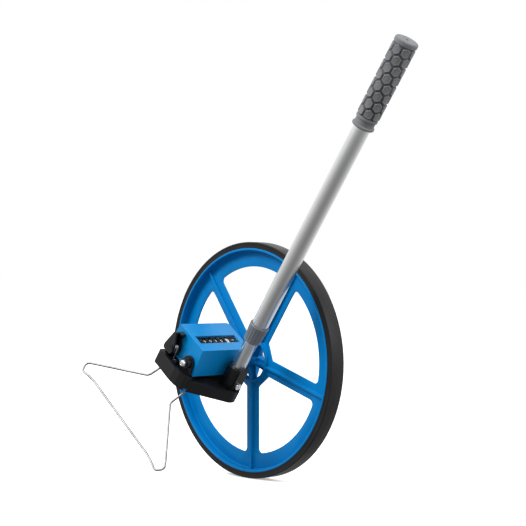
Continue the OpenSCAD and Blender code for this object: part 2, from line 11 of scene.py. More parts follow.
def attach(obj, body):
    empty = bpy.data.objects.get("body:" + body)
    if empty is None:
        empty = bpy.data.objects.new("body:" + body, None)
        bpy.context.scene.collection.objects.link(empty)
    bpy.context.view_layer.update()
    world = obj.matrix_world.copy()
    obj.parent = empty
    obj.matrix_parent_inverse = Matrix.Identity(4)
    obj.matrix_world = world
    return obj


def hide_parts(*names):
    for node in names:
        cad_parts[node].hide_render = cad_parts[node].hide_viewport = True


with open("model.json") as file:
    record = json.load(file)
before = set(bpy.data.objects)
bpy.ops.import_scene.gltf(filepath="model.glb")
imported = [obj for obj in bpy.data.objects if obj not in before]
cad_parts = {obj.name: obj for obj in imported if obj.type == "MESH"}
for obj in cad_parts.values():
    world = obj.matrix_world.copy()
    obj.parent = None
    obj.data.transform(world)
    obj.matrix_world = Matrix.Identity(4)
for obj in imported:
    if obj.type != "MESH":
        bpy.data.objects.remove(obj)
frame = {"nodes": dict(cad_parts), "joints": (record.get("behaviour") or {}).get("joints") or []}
scene = bpy.context.scene
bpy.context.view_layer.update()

# Frames: lengths in the pieces below are millimetres, as in the CAD
joint = {j["name"]: j for j in frame["joints"]}
HUB = Vector(joint["wheel_spin"]["pos_m"])
UP = Vector(joint["handle_slide"]["axis"]).normalized()
ALONG = Vector((0, 1, 0))
BACK = ALONG.cross(UP)


def basis(origin, x, y, z):
    """Matrix from millimetres along x, y and z to metres in the row frame."""
    m = Matrix.Identity(4)
    for col, axis in enumerate((x, y, z)):
        for row in range(3):
            m[row][col] = axis[row] * 0.001
    for row in range(3):
        m[row][3] = origin[row]
    return m


LEAN = basis(HUB, BACK, ALONG, UP)
AXLE = basis(HUB, Vector((1, 0, 0)), Vector((0, 0, 1)), Vector((0, -1, 0)))
HANDLE = LEAN @ Matrix.Translation((27, -53, 0))


# ---------------------------------------------------------------- materials
class Nodes:
    """Small helper round a material's node tree."""

    def __init__(self, name, rough=0.5, metal=0.0, spec=0.5):
        self.mat = bpy.data.materials.new(name)
        self.mat.use_nodes = True
        self.t = self.mat.node_tree
        self.bsdf = self.t.nodes["Principled BSDF"]
        self.set(self.bsdf, "Roughness", rough)
        self.set(self.bsdf, "Metallic", metal)
        self.set(self.bsdf, "Specular IOR Level", spec)
        self.at = self.add("ShaderNodeTexCoord").outputs["Object"]
        self.normal = None

    @staticmethod
    def set(node, socket, value):
        node.inputs[socket].default_value = value

    def add(self, kind, **values):
        node = self.t.nodes.new(kind)
        for key, value in values.items():
            setattr(node, key, value)
        return node

    def link(self, a, b):
        self.t.links.new(a, b)

    def noise(self, scale, detail=3.0, stretch=(1, 1, 1), rough=0.55):
        place = self.add("ShaderNodeMapping")
        self.set(place, "Scale", stretch)
        self.link(self.at, place.inputs["Vector"])
        tex = self.add("ShaderNodeTexNoise")
        self.set(tex, "Scale", scale)
        self.set(tex, "Detail", detail)
        self.set(tex, "Roughness", rough)
        self.link(place.outputs[0], tex.inputs["Vector"])
        return tex.outputs["Fac"]

    def ramp(self, fac, stops):
        ramp = self.add("ShaderNodeValToRGB")
        while len(ramp.color_ramp.elements) < len(stops):
            ramp.color_ramp.elements.new(0.5)
        for element, (pos, colour) in zip(ramp.color_ramp.elements, stops):
            element.position = pos
            element.color = (*colour, 1)
        self.link(fac, ramp.inputs["Fac"])
        return ramp.outputs["Color"]

    def colour(self, fac, low, high, spread=0.22):
        self.link(self.ramp(fac, [(0.5 - spread, low), (0.5 + spread, high)]),
                  self.bsdf.inputs["Base Color"])

    def roughness(self, fac, low, high):
        span = self.add("ShaderNodeMapRange")
        self.set(span, "From Min", 0.3)
        self.set(span, "From Max", 0.7)
        self.set(span, "To Min", low)
        self.set(span, "To Max", high)
        self.link(fac, span.inputs["Value"])
        self.link(span.outputs["Result"], self.bsdf.inputs["Roughness"])

    def bump(self, height, depth, strength=1.0):
        bump = self.add("ShaderNodeBump")
        self.set(bump, "Strength", strength)
        self.set(bump, "Distance", depth)
        self.link(height, bump.inputs["Height"])
        if self.normal is not None:
            self.link(self.normal, bump.inputs["Normal"])
        self.normal = bump.outputs["Normal"]
        self.link(self.normal, self.bsdf.inputs["Normal"])


def plastic(name, low, high, rough, grain, depth, tint=None, **extra):
    """Moulded plastic: slight colour drift, uneven sheen, fine mould grain."""
    n = Nodes(name, **extra)
    n.colour(n.noise(18), low, high)
    n.roughness(n.noise(60, 4), *rough)
    n.bump(n.noise(grain, 2), depth, 0.5)
    n.bump(n.noise(35, 2), 0.0004, 0.12)
    if tint:
        n.set(n.bsdf, "Specular Tint", tint)
    return n.mat


def metal(name, low, high, rough, stretch, depth, **extra):
    """Plated or brushed metal with a fine grain along one direction."""
    n = Nodes(name, metal=1.0, **extra)
    grain = n.noise(420, 4, stretch)
    n.colour(n.noise(40, 3, stretch), low, high)
    n.roughness(grain, *rough)
    n.bump(grain, depth, 0.35)
    return n.mat


def anodised():
    """Drawn aluminium tube: grain follows the tube, as noise stretched along it."""
    n = Nodes("anodised", metal=1.0)
    turn = n.add("ShaderNodeMapping")
    angle = math.atan2(UP.x, UP.z)
    n.set(turn, "Rotation", (0, -angle, 0))
    n.link(n.at, turn.inputs["Vector"])
    n.at = turn.outputs[0]
    grain = n.noise(900, 3, (1, 1, 0.012))
    n.colour(n.noise(45, 3, (1, 1, 0.2)), (0.70, 0.705, 0.71), (0.78, 0.78, 0.78))
    n.roughness(grain, 0.24, 0.34)
    n.bump(grain, 0.00002, 0.3)
    return n.mat


def glass():
    n = Nodes("lens", rough=0.04, spec=0.3)
    n.set(n.bsdf, "Alpha", 0.06)
    n.colour(n.noise(30), (0.01, 0.01, 0.012), (0.02, 0.02, 0.022))
    n.bump(n.noise(60, 2), 0.0001, 0.1)
    return n.mat


def rubber_tyre():
    n = Nodes("tyre_rubber", spec=0.2)
    n.colour(n.noise(22, 4), (0.006, 0.006, 0.006), (0.013, 0.012, 0.012))
    n.roughness(n.noise(30, 4), 0.38, 0.52)
    n.bump(n.noise(700, 3), 0.00012, 0.5)
    n.bump(n.noise(12, 2), 0.0006, 0.15)
    return n.mat


def rubber_grip():
    n = Nodes("grip_rubber_grey", spec=0.2)
    worn = n.ramp(n.noise(35, 4), [(0.3, (0.140, 0.142, 0.152)), (0.7, (0.180, 0.182, 0.192))])
    # Painted shade: points low in the grooves are darkened to 0.35 by how far they stand out (the
    # raised attribute)
    groove_shade = n.ramp(n.add("ShaderNodeAttribute", attribute_name="raised").outputs["Fac"],
                  [(0.1, (0.35, 0.35, 0.36)), (0.7, (1, 1, 1))])
    mix = n.add("ShaderNodeMix", data_type="RGBA", blend_type="MULTIPLY")
    n.set(mix, 0, 1.0)
    n.link(worn, mix.inputs[6])
    n.link(groove_shade, mix.inputs[7])
    n.link(mix.outputs[2], n.bsdf.inputs["Base Color"])
    n.roughness(n.noise(50, 3), 0.62, 0.78)
    n.bump(n.noise(1100, 3), 0.00012, 0.6)
    n.set(n.bsdf, "Sheen Weight", 0.05)
    return n.mat


M = {
    "tyre": rubber_tyre(),
    "grip": rubber_grip(),
    "blue": plastic("wheel_plastic", (0.0003, 0.150, 0.42), (0.0006, 0.178, 0.475),
                    (0.34, 0.46), 900, 0.00008, spec=0.3,
                    tint=(0.05, 0.5, 1, 1)),
    "case": plastic("counter_plastic", (0.001, 0.175, 0.45), (0.002, 0.205, 0.51),
                    (0.28, 0.38), 1300, 0.00006, spec=0.5,
                    tint=(0.15, 0.7, 1, 1)),
    "black": plastic("black_moulding", (0.005, 0.005, 0.006), (0.009, 0.009, 0.011),
                     (0.30, 0.44), 1500, 0.00008, spec=0.3),
    "oxide": metal("black_oxide", (0.03, 0.03, 0.03), (0.05, 0.05, 0.05),
                   (0.35, 0.5), (1, 1, 1), 0.00003),
    "collar": plastic("collar_plastic", (0.115, 0.130, 0.150), (0.150, 0.168, 0.190),
                      (0.42, 0.55), 1200, 0.0001, spec=0.4),
    "gear": plastic("acetal", (0.62, 0.60, 0.52), (0.7, 0.68, 0.6),
                    (0.4, 0.5), 900, 0.00006, spec=0.5),
    "drum": plastic("drum_black", (0.006, 0.006, 0.006), (0.01, 0.01, 0.01),
                    (0.45, 0.55), 1200, 0.00005, spec=0.15),
    "white": plastic("drum_white", (0.75, 0.75, 0.74), (0.85, 0.85, 0.84),
                     (0.45, 0.55), 1200, 0.00005),
    "print": plastic("print_white", (0.8, 0.8, 0.8), (0.9, 0.9, 0.9),
                     (0.5, 0.6), 1500, 0.00003),
    "print_dark": plastic("print_black", (0.01, 0.01, 0.01), (0.02, 0.02, 0.02),
                          (0.5, 0.6), 1500, 0.00003),
    "tube": anodised(),
    "steel": metal("zinc_steel", (0.50, 0.50, 0.52), (0.64, 0.64, 0.66),
                   (0.28, 0.42), (1, 0.1, 1), 0.00004),
    "bright": metal("bright_zinc", (0.72, 0.72, 0.74), (0.85, 0.85, 0.86),
                    (0.22, 0.34), (1, 1, 1), 0.00001),
    "chrome": metal("chrome_wire", (0.16, 0.16, 0.17), (0.24, 0.24, 0.25),
                    (0.26, 0.38), (1, 1, 1), 0.00002),
    "sheet": metal("plated_sheet", (0.42, 0.42, 0.44), (0.55, 0.55, 0.57),
                   (0.3, 0.45), (1, 0.15, 1), 0.00003),
    "glass": glass(),
}


# ---------------------------------------------------------------- mesh tools
EDGE_ANGLE = 40


def fillet(corners, steps=5):
    """Closed outline from corners (x, y, radius), with each corner rounded."""
    out = []
    count = len(corners)
    for i, (x, y, r) in enumerate(corners):
        p = Vector((x, y))
        a = Vector(corners[i - 1][:2]) - p
        b = Vector(corners[(i + 1) % count][:2]) - p
        reach = 0.49 * min(a.length, b.length)
        a.normalize()
        b.normalize()
        inside = a.angle(b, math.pi)
        if r <= 0 or inside > 3.12:
            out.append(p)
            continue
        t = min(r / math.tan(inside / 2), reach)
        centre = p + (a + b).normalized() * (t / math.cos(inside / 2))
        v0, v1 = p + a * t - centre, p + b * t - centre
        turn = v0.angle(v1)
        for k in range(steps + 1):
            s = k / steps
            out.append(centre + (v0 * math.sin((1 - s) * turn) + v1 * math.sin(s * turn))
                       / math.sin(turn))
    return [(q.x, q.y) for q in out]


class Shape:
    """Collects closed parts, in millimetres, into one mesh."""

    def __init__(self):
        self.verts, self.faces = [], []

    def add(self, verts, faces, place=None):
        base = len(self.verts)
        self.verts += [place @ Vector(v) if place else Vector(v) for v in verts]
        self.faces += [tuple(base + i for i in f) for f in faces]
        return self

    def lathe(self, profile, place=None, n=128):
        """Closed profile of (r, z) turned round z."""
        count = len(profile)
        verts = [(r * math.cos(2 * math.pi * i / n), r * math.sin(2 * math.pi * i / n), z)
                 for i in range(n) for r, z in profile]
        faces = [(i * count + k, (i + 1) % n * count + k,
                  (i + 1) % n * count + (k + 1) % count, i * count + (k + 1) % count)
                 for i in range(n) for k in range(count)]
        return self.add(verts, faces, place)

    def prism(self, outline, z0, z1, place=None, edge=0.0):
        """Extruded outline; edge chamfers both rims by that much."""
        count = len(outline)
        rings = [(0, z0 + edge), (0, z1 - edge)]
        if edge:
            rings = [(edge, z0), (edge * 0.3, z0 + edge * 0.3), (0, z0 + edge),
                     (0, z1 - edge), (edge * 0.3, z1 - edge * 0.3), (edge, z1)]
        area = sum(outline[i - 1][0] * outline[i][1] - outline[i][0] * outline[i - 1][1]
                   for i in range(count))
        side = 1 if area > 0 else -1
        normals = []
        for i in range(count):
            d = Vector(outline[(i + 1) % count]) - Vector(outline[i - 1])
            normals.append(Vector((-d.y, d.x)).normalized() * side)
        verts = [(outline[i][0] + normals[i].x * inset, outline[i][1] + normals[i].y * inset, z)
                 for inset, z in rings for i in range(count)]
        faces = [tuple(range(count)), tuple((len(rings) - 1) * count + i for i in range(count))]
        for k in range(len(rings) - 1):
            faces += [(k * count + i, k * count + (i + 1) % count,
                       (k + 1) * count + (i + 1) % count, (k + 1) * count + i)
                      for i in range(count)]
        return self.add(verts, faces, place)

    def wire(self, points, r, place=None, sides=16):
        """Round wire along points, with round ends."""
        pts = [Vector(p) for p in points]
        up = None
        verts, faces = [], []
        caps = 4
        stations = []
        for i, p in enumerate(pts):
            t = (pts[min(i + 1, len(pts) - 1)] - pts[max(i - 1, 0)]).normalized()
            if i == 0:
                stations += [(p - t * r * math.cos(a), t, r * math.sin(a))
                             for a in [math.pi / 2 * k / caps for k in range(1, caps)]]
            stations.append((p, t, r))
            if i == len(pts) - 1:
                stations += [(p + t * r * math.cos(a), t, r * math.sin(a))
                             for a in [math.pi / 2 * k / caps for k in range(caps - 1, 0, -1)]]
        for p, t, size in stations:
            if up is None:
                up = t.orthogonal().normalized()
            up = (up - t * up.dot(t)).normalized()
            side = t.cross(up)
            verts += [p + (up * math.cos(2 * math.pi * k / sides)
                           + side * math.sin(2 * math.pi * k / sides)) * size
                      for k in range(sides)]
        for i in range(len(stations) - 1):
            faces += [(i * sides + k, i * sides + (k + 1) % sides,
                       (i + 1) * sides + (k + 1) % sides, (i + 1) * sides + k)
                      for k in range(sides)]
        last = (len(stations) - 1) * sides
        faces += [tuple(range(sides)), tuple(last + k for k in range(sides))]
        return self.add(verts, faces, place)

    def skin(self, rows, cols, point, place=None):
        """Closed round skin: point(row, col) gives each corner; the ends close on a point."""
        verts = [point(i, k) for i in range(rows) for k in range(cols)]
        faces = [(i * cols + k, i * cols + (k + 1) % cols,
                  (i + 1) * cols + (k + 1) % cols, (i + 1) * cols + k)
                 for i in range(rows - 1) for k in range(cols)]
        return self.add(verts, faces, place)

    def piece(self, name, material, body, replaces=(), slot=None, smooth=35):
        mesh = bpy.data.meshes.new(name)
        mesh.from_pydata(self.verts, [], self.faces)
        bm = bmesh.new()
        bm.from_mesh(mesh)
        bmesh.ops.remove_doubles(bm, verts=bm.verts, dist=2e-7)
        bmesh.ops.recalc_face_normals(bm, faces=bm.faces)
        bm.to_mesh(mesh)
        bm.free()
        mesh.materials.append(material)
        mesh.polygons.foreach_set("use_smooth", [True] * len(mesh.polygons))
        mesh.set_sharp_from_angle(angle=math.radians(smooth))
        obj = bpy.data.objects.new(name, mesh)
        scene.collection.objects.link(obj)
        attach(obj, body)
        if replaces:
            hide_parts(*replaces)
        return obj


def soften(obj, width):
    """Rounds every edge sharper than EDGE_ANGLE."""
    mod = obj.modifiers.new("edges", "BEVEL")
    mod.width = width * 0.001
    mod.segments = 2
    mod.limit_method = "ANGLE"
    mod.angle_limit = math.radians(EDGE_ANGLE)
    mod.use_clamp_overlap = True
    mod.harden_normals = False
    return obj


def finish_cad(node, material, width):
    """Keeps a CAD node, with its edges softened and its own material."""
    obj = frame["nodes"][node]
    obj.data.materials.clear()
    obj.data.materials.append(material)
    weld = obj.modifiers.new("weld", "WELD")
    weld.merge_threshold = 2e-6
    soften(obj, width)
    shade = obj.modifiers.new("normals", "WEIGHTED_NORMAL")
    shade.keep_sharp = True


def bent_path(corners, steps=6):
    """Straight runs joined by round bends; corners are points with a bend radius."""
    pts = [Vector(c[:3]) for c in corners]
    out = [pts[0]]
    for i in range(1, len(pts) - 1):
        a, b = (pts[i - 1] - pts[i]), (pts[i + 1] - pts[i])
        reach = 0.49 * min(a.length, b.length)
        a.normalize()
        b.normalize()
        inside = a.angle(b)
        t = min(corners[i][3] / math.tan(inside / 2), reach)
        centre = pts[i] + (a + b).normalized() * (t / math.cos(inside / 2))
        v0, v1 = pts[i] + a * t - centre, pts[i] + b * t - centre
        turn = v0.angle(v1)
        for k in range(steps + 1):
            s = k / steps
            out.append(centre + (v0 * math.sin((1 - s) * turn) + v1 * math.sin(s * turn))
                       / math.sin(turn))
    return out + [pts[-1]]


# ---------------------------------------------------------------- tyre and wheel
R = HUB.z * 1000
WINDOW_IN, WINDOW_OUT, HALF_SPOKE = 37.5, 126.2, 11.5
tyre = Shape()
tyre.lathe(fillet([
    (R - 8.2, -11.2, 0.3), (R - 6.9, -11.2, 0.2), (R - 6.7, -10.95, 0.2), (R - 2.6, -11.0, 0.3),
    (R - 2.2, -11.2, 0.2), (R, -11.2, 1.6), (R, -0.35, 0.2), (R + 0.12, 0, 0.3), (R, 0.35, 0.2),
    (R, 11.2, 1.6), (R - 2.2, 11.2, 0.2), (R - 2.6, 11.0, 0.3), (R - 6.7, 10.95, 0.2),
    (R - 6.9, 11.2, 0.2), (R - 8.2, 11.2, 0.3)]), AXLE, 288)
tyre.piece("tyre_moulding", M["tyre"], "wheel_set", ["tyre"], "tyre", smooth=50)


def arc(cx, cy, r, a0, a1, n):
    return [(cx + r * math.cos(math.radians(a0 + (a1 - a0) * k / n)),
             cy + r * math.sin(math.radians(a0 + (a1 - a0) * k / n))) for k in range(n + 1)]


def window(turn):
    """Outline of one window, as in the CAD wheel."""
    half, hub_c, rim_c = 36, 3.5, 6
    in_r, out_r = WINDOW_IN + hub_c, WINDOW_OUT - rim_c
    in_a = half - math.degrees(math.asin((HALF_SPOKE + hub_c) / in_r))
    out_a = half - math.degrees(math.asin((HALF_SPOKE + rim_c) / out_r))
    ci, co = math.radians(in_a), math.radians(out_a)
    low = arc(in_r * math.cos(ci), -in_r * math.sin(ci), hub_c, 180 - in_a, 90 - half + 180, 8)
    low += arc(out_r * math.cos(co), -out_r * math.sin(co), rim_c, -half - 90, -out_a, 8)
    low += arc(0, 0, WINDOW_OUT, -out_a * 0.9, 0, 16)
    full = low + [(x, -y) for x, y in reversed(low[:-1])]
    c, s = math.cos(math.radians(turn)), math.sin(math.radians(turn))
    return [(x * c - y * s, x * s + y * c) for x, y in full]


def plate(loops, half_t, edge):
    """Flat plate with holes: loops are the outer outline and then each hole."""
    bm = bmesh.new()
    for loop in loops:
        vs = [bm.verts.new((x, y, half_t)) for x, y in loop]
        for i in range(len(vs)):
            bm.edges.new((vs[i - 1], vs[i]))
    bmesh.ops.triangle_fill(bm, edges=bm.edges[:], use_beauty=True)
    bmesh.ops.dissolve_limit(bm, angle_limit=0.01, verts=bm.verts[:], edges=bm.edges[:],
                             use_dissolve_boundaries=False)
    top = bmesh.ops.extrude_face_region(bm, geom=bm.faces[:])
    for v in [g for g in top["geom"] if isinstance(g, bmesh.types.BMVert)]:
        v.co.z = -half_t
    bmesh.ops.recalc_face_normals(bm, faces=bm.faces[:])
    if edge:
        rim = [e for e in bm.edges if len(e.link_faces) == 2
               and e.calc_face_angle(0) > 1.2]
        bmesh.ops.bevel(bm, geom=rim, offset=edge, segments=2, profile=0.5, affect="EDGES",
                        clamp_overlap=False)
    bm.verts.index_update()
    verts = [v.co[:] for v in bm.verts]
    faces = [tuple(v.index for v in f.verts) for f in bm.faces]
    bm.free()
    return verts, faces


wheel = Shape()
# Rim barrel with round lips, a fillet to the web and slight draft
wheel.lathe(fillet([
    (R - 8.2, -11.8, 0.9), (R - 8.2, 11.8, 0.9), (R - 11.3, 11.8, 0.9), (R - 12.3, 1.2, 1.6),
    (R - 14.8, 1.05, 0.2), (R - 14.8, -1.05, 0.2), (R - 12.3, -1.2, 1.6), (R - 11.3, -11.8, 0.9)],
    6), AXLE, 288)
open_sector = [arc(0, 0, 25, 54 + 72 * i + 16.5, 54 + 72 * i + 55.5, 12)
               + [(8.5 * math.cos(math.radians(90 + 72 * i)),
                   8.5 * math.sin(math.radians(90 + 72 * i)))] for i in range(5)]
loops = [arc(0, 0, R - 12, 0, 358.75, 287)] + [window(90 + 72 * i) for i in range(5)] + open_sector
wheel.add(*plate(loops, 1.2, 0.45), AXLE)
# Ribs: drafted section with a fillet at the foot, on both faces
section = fillet([(-3.4, 1.0, 0), (-2.0, 1.35, 1.1), (-1.45, 5.2, 0.5), (1.45, 5.2, 0.5),
                  (2.0, 1.35, 1.1), (3.4, 1.0, 0)], 4)
section += [(x, -y) for x, y in reversed(section)]
for i in range(5):
    turn = Matrix.Rotation(math.radians(-90 + 72 * i), 4, "Z")
    along = Matrix(((0, 0, 1, 0), (1, 0, 0, 0), (0, 1, 0, 0), (0, 0, 0, 1)))
    wheel.prism(section, 7, R - 11.6, AXLE @ turn @ along)
    for s in (1, -1):
        gusset = fillet([(6.5, 0, 0), (6.5, 12.5 * s, 0.4), (10, 11.6 * s, 1.5), (27.5, 5.0 * s, 2.5),
                         (29, 0, 0)], 5)
        wheel.prism(gusset, -1.6, 1.6,
                    AXLE @ turn @ Matrix(((1, 0, 0, 0), (0, 0, -1, 0), (0, 1, 0, 0), (0, 0, 0, 1))),
                    edge=0.4)
# Hub ring, boss with its fillet, and small pads where the web meets the hub ring
wheel.lathe(fillet([(27.2, -5.0, 0.6), (30.8, -5.0, 0.6), (31.2, -1.9, 1.0), (33.2, -1.0, 0),
                    (33.2, 1.0, 0), (31.2, 1.9, 1.0), (30.8, 5.0, 0.6), (27.2, 5.0, 0.6),
                    (26.8, 1.9, 1.0), (25.0, 1.0, 0), (25.0, -1.0, 0), (26.8, -1.9, 1.0)], 4),
            AXLE, 160)
wheel.lathe(fillet([(4.02, -13, 0.3), (7.6, -13, 0.6), (8.0, -3, 1.5), (9.6, -1.1, 0),
                    (9.6, 1.1, 0), (8.0, 3, 1.5), (7.6, 21, 0.6), (4.02, 21, 0.3)], 4), AXLE, 96)
wheel.piece("wheel_moulding", M["blue"], "wheel_set", ["wheel"], "wheel_blue", smooth=38)


# ---------------------------------------------------------------- axle hardware
def hexagon(r, turn=0):
    return [(r * math.cos(math.radians(60 * k + turn)), r * math.sin(math.radians(60 * k + turn)))
            for k in range(6)]


axle = Shape()
axle.lathe(fillet([(0.01, -14.2, 0), (4, -14.2, 0), (4, 120.3, 0.3), (2.5, 120.3, 0), (2.5, 125.4, 0.3),
                   (2.0, 126, 0.2), (0.01, 126, 0)]), AXLE, 64)
axle.prism(fillet([(x, y, 0.3) for x, y in hexagon(7.2)], 2), -19.5, -14.2, AXLE, edge=0.5)
for k in range(3):
    axle.lathe([(2.45, 124.0 + 0.5 * k), (2.6, 124.2 + 0.5 * k), (2.45, 124.4 + 0.5 * k),
                (2.3, 124.2 + 0.5 * k)], AXLE, 48)
axle.piece("axle_bolt", M["steel"], "wheel_set", ["axle"], "axle_steel")

nut = Shape()
nut.prism(fillet([(x, y, 0.25) for x, y in hexagon(4.62)], 2), 121.5, 124.5, AXLE, edge=0.3)
nut.lathe(fillet([(2.62, 124.2, 0), (3.8, 124.2, 0.2), (3.6, 125.7, 0.7), (2.62, 125.7, 0.2)]),
          AXLE, 64)
nut.piece("lock_nut", M["bright"], "wheel_set", ["axle_nut"], "axle_steel")

washers = Shape()
for z, bore, rim in ((-14.2, 4.02, 6.8), (120.3, 2.52, 5.2)):
    washers.lathe(fillet([(bore, z, 0.1), (rim, z, 0.3), (rim, z + 1.2, 0.3), (bore, z + 1.2, 0.1)]),
                  AXLE, 64)
washers.piece("washers", M["black"], "wheel_set", ["axle_washers"], "black_plastic")


# ---------------------------------------------------------------- handle
def tube(shape, r_out, r_in, z0, z1, n=96):
    shape.lathe(fillet([(r_in, z0, 0.15), (r_out, z0, 0.35), (r_out, z1, 0.35), (r_in, z1, 0.15)], 3),
                HANDLE, n)


lower = Shape()
tube(lower, 9.5, 8.3, -30, 462)
lower.piece("lower_tube_drawn", M["tube"], "carrier", ["lower_tube"], "anodised_tube")
upper = Shape()
tube(upper, 11, 10, 62, 493.5)
upper.piece("upper_tube_drawn", M["tube"], "handle", ["upper_tube"], "anodised_tube")

FLUTES, PER = 18, 14
COLLAR_Z, GRIP_Z = 56, 381.5


def collar_radius(z, col):
    base = 11.4 + (13.0 - 11.4) * min(max((z - 2) / 22, 0), 1)
    if z < 2:
        return 10.8 + 0.6 * math.sin(min(z / 1.4, 1) * math.pi / 2)
    phase = (col % PER) / PER
    groove = max(0.0, 1 - abs(phase - 0.5) / 0.17)
    fade = min(max((z - 2.6) / 1.4, 0), 1) * min(max((23.6 - z) / 1.2, 0), 1)
    depth = 0.62 * groove ** 0.6 * fade
    edge = max(0.0, z - 25.0)
    return base - depth - 0.5 * edge * edge


heights = ([0.0, 0.15, 0.4, 0.8, 1.3, 1.9, 2.1, 2.5, 2.9, 3.3, 3.7, 4.1] + [5 + 2 * k for k in range(9)]
           + [22.2, 22.6, 23.0, 23.4, 23.8, 24.4, 25.0, 25.3, 25.6, 25.8, 26.0])
collar_rows = ([(9.95, 0.3), (10.2, 0.0)] + [(None, z) for z in heights]
               + [(11.35, 26.0), (11.1, 25.7), (11.08, 5.0), (10.95, 4.8), (10.95, 2.6), (9.95, 2.2),
                  (9.95, 0.3)])


def collar_point(i, k):
    r, z = collar_rows[i]
    if r is None:
        r = collar_radius(z, k)
    a = 2 * math.pi * (k + 0.5) / (FLUTES * PER)
    return r * math.cos(a), r * math.sin(a), COLLAR_Z + z


collar = Shape().skin(len(collar_rows), FLUTES * PER, collar_point, HANDLE)
collar.piece("collar_fluted", M["collar"], "collar", ["twist_collar"], "collar_grey", smooth=45)

# Grip: raised hexagons with a slightly sunken middle, points along the handle
AROUND, GRIP_COLS = 7, 7 * 40
PITCH = 2 * math.pi * 13.9 / AROUND
ROW, FIRST_ROW = 12.1, 20.2
HEX_RATIO = 0.8660254


def ease(t):
    t = min(max(t, 0.0), 1.0)
    return t * t * (3 - 2 * t)


def hex_distance(u, v):
    """Distance from the nearest hexagon's middle, in steps of its half width."""
    best = 9.0
    row = math.floor((v - FIRST_ROW) / ROW)
    for j in (row, row + 1):
        shift = 0.5 * PITCH * (j % 2)
        du = (u - shift + PITCH / 2) % PITCH - PITCH / 2
        dv = (v - FIRST_ROW - j * ROW) * (PITCH * HEX_RATIO / ROW)
        best = min(best, max(abs(du), abs(du) * 0.5 + abs(dv) * HEX_RATIO))
    return best


def grip_radius(z, u):
    d = hex_distance(u, z)
    half = PITCH / 2
    raised = 1 - ease((d - (half - 1.7)) / 0.9)
    sunken = 1 - ease((d - (half - 3.1)) / 0.7)
    ends = ease((z - 15.0) / 1.2) * ease((111.2 - z) / 1.2)
    return 12.95 + (z - 14) / 97 * 0.3 + ends * (1.5 * raised - 0.35 * sunken)


grip_profile = fillet([(11.05, 0.2, 0), (14.4, 0.2, 1.1), (14.3, 3.2, 1.1), (12.6, 4.2, 0.8),
                       (12.5, 10.2, 0.8), (13.9, 11.2, 0.8), (13.9, 13.6, 0.9), (13.4, 14.4, 0),
                       (13.0, 14.4, 0)], 5)
grip_profile = grip_profile[:-1]
cap_profile = fillet([(13.2, 111.2, 0), (13.9, 111.5, 0.2), (14.8, 111.8, 0.7), (14.8, 117.7, 2.2),
                      (6.0, 118.0, 1.0), (4.4, 117.6, 0.8), (2.05, 117.55, 0.3), (2.0, 113.2, 0),
                      (0.05, 113.2, 0), (0.05, 111.2, 0)], 7)
cap_profile = cap_profile[:-1]
steps = 216
grip_rows = grip_profile + [(None, 14.4 + (111.2 - 14.4) * k / steps) for k in range(1, steps)] \
    + cap_profile


def grip_point(i, k):
    r, z = grip_rows[i]
    a = 2 * math.pi * k / GRIP_COLS
    if r is None:
        r = grip_radius(z, k / GRIP_COLS * AROUND * PITCH)
    return r * math.cos(a), r * math.sin(a), GRIP_Z + z


grip = Shape().skin(len(grip_rows), GRIP_COLS, grip_point, HANDLE)
grip = grip.piece("grip_moulded", M["grip"], "handle", ["grip"], "grip_rubber", smooth=60)
# Painted shade in the grooves: how far each point stands out of them
raised = grip.data.attributes.new("raised", "FLOAT", "POINT")
local = HANDLE.inverted()
for vertex, value in zip(grip.data.vertices, raised.data):
    p = local @ vertex.co
    on_body = 396 < p.z < 492.5
    value.value = min(max((math.hypot(p.x, p.y) - 12.9) / 1.3, 0), 1) if on_body else 1.0

# ---------------------------------------------------------------- counter
DRUM = LEAN @ Matrix.Translation((-12, 0, math.sqrt(18.2 ** 2 - 144)))


def glyph(text, height):
    """Flat outline of a figure, middle at the origin, cut into thin bands."""
    curve = bpy.data.curves.new("figure", "FONT")
    curve.body = text
    curve.resolution_u = 4
    holder = bpy.data.objects.new("figure", curve)
    scene.collection.objects.link(holder)
    bpy.context.view_layer.update()
    mesh = bpy.data.meshes.new_from_object(
        holder.evaluated_get(bpy.context.evaluated_depsgraph_get()))
    bm = bmesh.new()
    bm.from_mesh(mesh)
    bpy.data.objects.remove(holder)
    bpy.data.curves.remove(curve)
    bpy.data.meshes.remove(mesh)
    xs = [v.co.x for v in bm.verts]
    ys = [v.co.y for v in bm.verts]
    scale = height / (max(ys) - min(ys))
    for v in bm.verts:
        v.co.x = (v.co.x - (max(xs) + min(xs)) / 2) * scale * 0.85
        v.co.y = (v.co.y - (max(ys) + min(ys)) / 2) * scale
        v.co.z = 0
    for k in range(1, 10):
        cut = height * (k / 10 - 0.5)
        bmesh.ops.bisect_plane(bm, geom=bm.verts[:] + bm.edges[:] + bm.faces[:],
                               plane_co=(0, cut, 0), plane_no=(0, 1, 0))
    bm.verts.index_update()
    verts = [v.co[:2] for v in bm.verts]
    faces = [tuple(v.index for v in f.verts) for f in bm.faces]
    bm.free()
    return verts, faces


DRUM_FACE, DRUM_PITCH = 11.54, 9.6
figures = [glyph(str(k), 4.5) for k in range(10)]
for drum in range(5):
    y = -94.2 + DRUM_PITCH * drum + 3.5
    band = Shape()
    for k, (verts, faces) in enumerate(figures):
        middle = math.radians(36 * k)
        r = DRUM_FACE
        band.add([(-r * math.sin(middle + gy / r), y + gx, r * math.cos(middle + gy / r))
                  for gx, gy in verts], faces, DRUM)
    band.piece("figures_%d" % (drum + 1), M["print_dark" if drum == 4 else "print"],
               "drum_%d" % (drum + 1), slot="drum_black" if drum == 4 else "drum_white")

# Unit mark beside the last drum
verts, faces = glyph("m", 2.4)
unit = Shape().add([(-12 - gy, -42.6 + gx, 26.03) for gx, gy in verts], faces, LEAN)
unit.piece("unit_mark", M["print"], "carrier", slot="drum_white")

